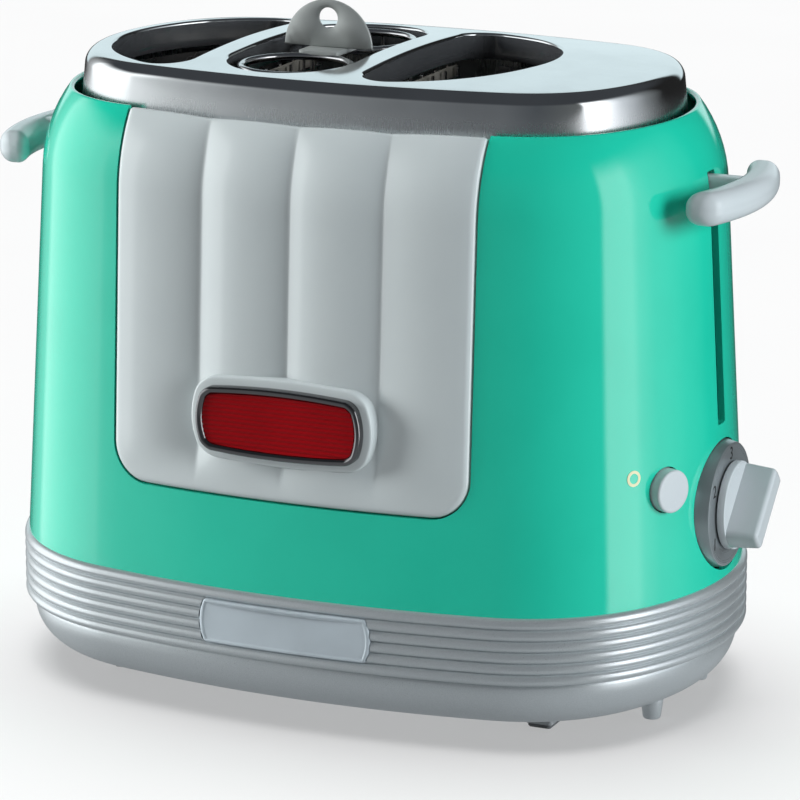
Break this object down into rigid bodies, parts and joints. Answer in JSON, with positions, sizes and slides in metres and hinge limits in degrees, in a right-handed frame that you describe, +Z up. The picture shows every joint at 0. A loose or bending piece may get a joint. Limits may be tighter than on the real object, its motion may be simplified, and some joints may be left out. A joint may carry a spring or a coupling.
{
  "type": "hot dog toaster",
  "caption": "Retro two-lever toaster with two bun slots, a lift-out sausage basket, a fluted front panel, a timer knob and a slide-out crumb tray.",
  "frame": {"origin": "centre of the footprint, on the worktop", "axes": "+Z up; +X along the length towards the timer knob and the button; the fluted front panel faces -Y"},
  "size_m": [0.3079, 0.1876, 0.2558],
  "materials": {
    "shell_enamel": "high-gloss turquoise enamel",
    "cream_plastic": "glossy off-white",
    "lever_plastic": "glossy off-white",
    "silver_paint": "satin silver paint, fine metallic",
    "plate_metal": "satin silver",
    "badge_chrome": "dark polished chrome",
    "badge_red": "glossy ribbed red",
    "cover_steel": "polished stainless, finely brushed",
    "dial_metal": "satin dark silver with black numbers",
    "foot_plastic": "matt grey",
    "foot_rubber": "matt black",
    "chassis_steel": "zinc-plated sheet",
    "wire_steel": "drawn bright wire",
    "mica": "matt mica sheet",
    "heating_alloy": "oxidised ribbon",
    "slide_polymer": "matt black",
    "iron": "bare",
    "circuit_board": "green laminate"
  },
  "bodies": {
    "housing": {"body_shell": "shell_enamel", "front_panel": "cream_plastic", "base_ring": "silver_paint", "base_pan": "silver_paint", "nameplate": "plate_metal", "badge_bezel": "badge_chrome", "badge_lens": "badge_red", "top_cover": "cover_steel", "opening_collars": "cover_steel", "dial_ring": "dial_metal", "feet": "foot_plastic", "foot_pads": "foot_rubber", "chassis_floor": "chassis_steel", "chassis_plate_left": "chassis_steel", "chassis_plate_right": "chassis_steel", "heat_shield_front": "chassis_steel", "heat_shield_rear": "chassis_steel", "bun_reflector_left": "chassis_steel", "bun_reflector_right": "chassis_steel", "switch_bracket": "chassis_steel", "bun_guard_left": "wire_steel", "bun_guard_right": "wire_steel", "sausage_guard_left": "wire_steel", "sausage_guard_right": "wire_steel", "guide_rods_left": "wire_steel", "guide_rods_right": "wire_steel", "return_springs_left": "wire_steel", "return_springs_right": "wire_steel", "base_screws": "wire_steel", "heater_board_left": "mica", "heater_board_right": "mica", "heating_ribbon_left": "heating_alloy", "heating_ribbon_right": "heating_alloy", "cancel_switch": "slide_polymer", "timer": "slide_polymer", "cable_gland": "slide_polymer", "electromagnet": "iron", "control_board": "circuit_board"},
    "carriage": {"carriage_frame": "chassis_steel", "slide_block_left": "slide_polymer", "slide_block_right": "slide_polymer", "bun_platform_left": "chassis_steel", "bun_platform_right": "chassis_steel", "sausage_platform": "chassis_steel", "lever_left": "lever_plastic", "lever_right": "lever_plastic", "armature": "iron"},
    "basket": {"basket_hoops": "cover_steel", "basket_rods": "cover_steel", "basket_base": "cover_steel", "basket_tab": "cover_steel"},
    "dial": {"timer_knob": "lever_plastic", "knob_shaft": "wire_steel"},
    "button": {"cancel_button": "lever_plastic"},
    "tray": {"crumb_tray": "chassis_steel", "crumb_tray_handle": "silver_paint"}
  },
  "joints": [
    {"name": "carriage_slide", "type": "slide", "parent": "housing", "child": "carriage", "axis": [0, 0, 1], "range_m": [-0.08, 0], "stiffness_N_per_m": 40, "springref_m": 0.25, "deforming": ["return_springs_left", "return_springs_right"]},
    {"name": "basket_lift", "type": "slide", "parent": "carriage", "child": "basket", "axis": [0, 0, 1], "range_m": [0, 0.125]},
    {"name": "dial_turn", "type": "hinge", "parent": "housing", "child": "dial", "pos_m": [0.142, 0, 0.07875], "axis": [-1, 0, 0], "range_deg": [0, 260]},
    {"name": "button_press", "type": "slide", "parent": "housing", "child": "button", "axis": [-0.9205, 0.3907, 0], "range_m": [0, 0.003], "stiffness_N_per_m": 400, "springref_m": -0.002},
    {"name": "crumb_tray_slide", "type": "slide", "parent": "housing", "child": "tray", "axis": [0, 1, 0], "range_m": [0, 0.11]}
  ]
}
